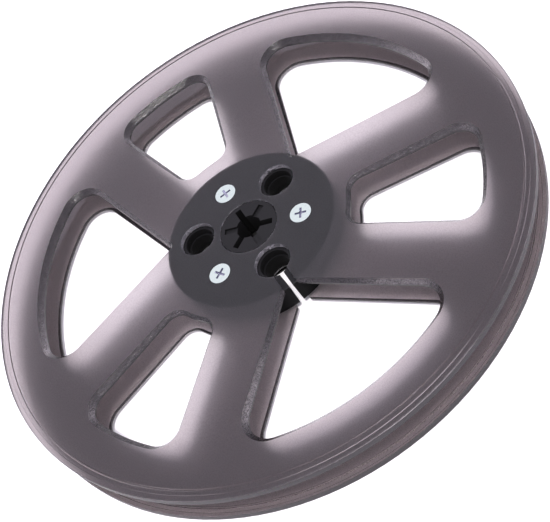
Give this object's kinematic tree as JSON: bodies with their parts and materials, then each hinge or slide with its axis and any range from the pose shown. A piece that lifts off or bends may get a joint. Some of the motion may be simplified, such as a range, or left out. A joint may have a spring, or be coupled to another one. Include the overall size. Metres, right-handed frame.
{
  "type": "audio tape reel",
  "caption": "Empty round audio tape reel: two smoked flanges with bevelled windows and lipped rims, screwed to a dark hub with a keyed spindle bush.",
  "frame": {"origin": "on the reel's axis, in the plane that the rear rim rests on", "axes": "+Z along the reel's axis from the rear flange to the front flange; -Y along the threading slot, from the axis outwards"},
  "size_m": [0.178, 0.178, 0.0134],
  "materials": {
    "smoked_plastic": "frosted, see-through smoke grey",
    "hub_plastic": "satin black moulded plastic",
    "bush_plastic": "matt dark grey moulded plastic",
    "zinc_steel": "bright zinc-plated steel"
  },
  "bodies": {
    "root": {"front_flange": "smoked_plastic", "rear_flange": "smoked_plastic", "hub": "hub_plastic", "spindle_bush": "bush_plastic", "front_screw_1": "zinc_steel", "front_screw_2": "zinc_steel", "front_screw_3": "zinc_steel", "rear_screw_1": "zinc_steel", "rear_screw_2": "zinc_steel", "rear_screw_3": "zinc_steel"}
  },
  "joints": []
}
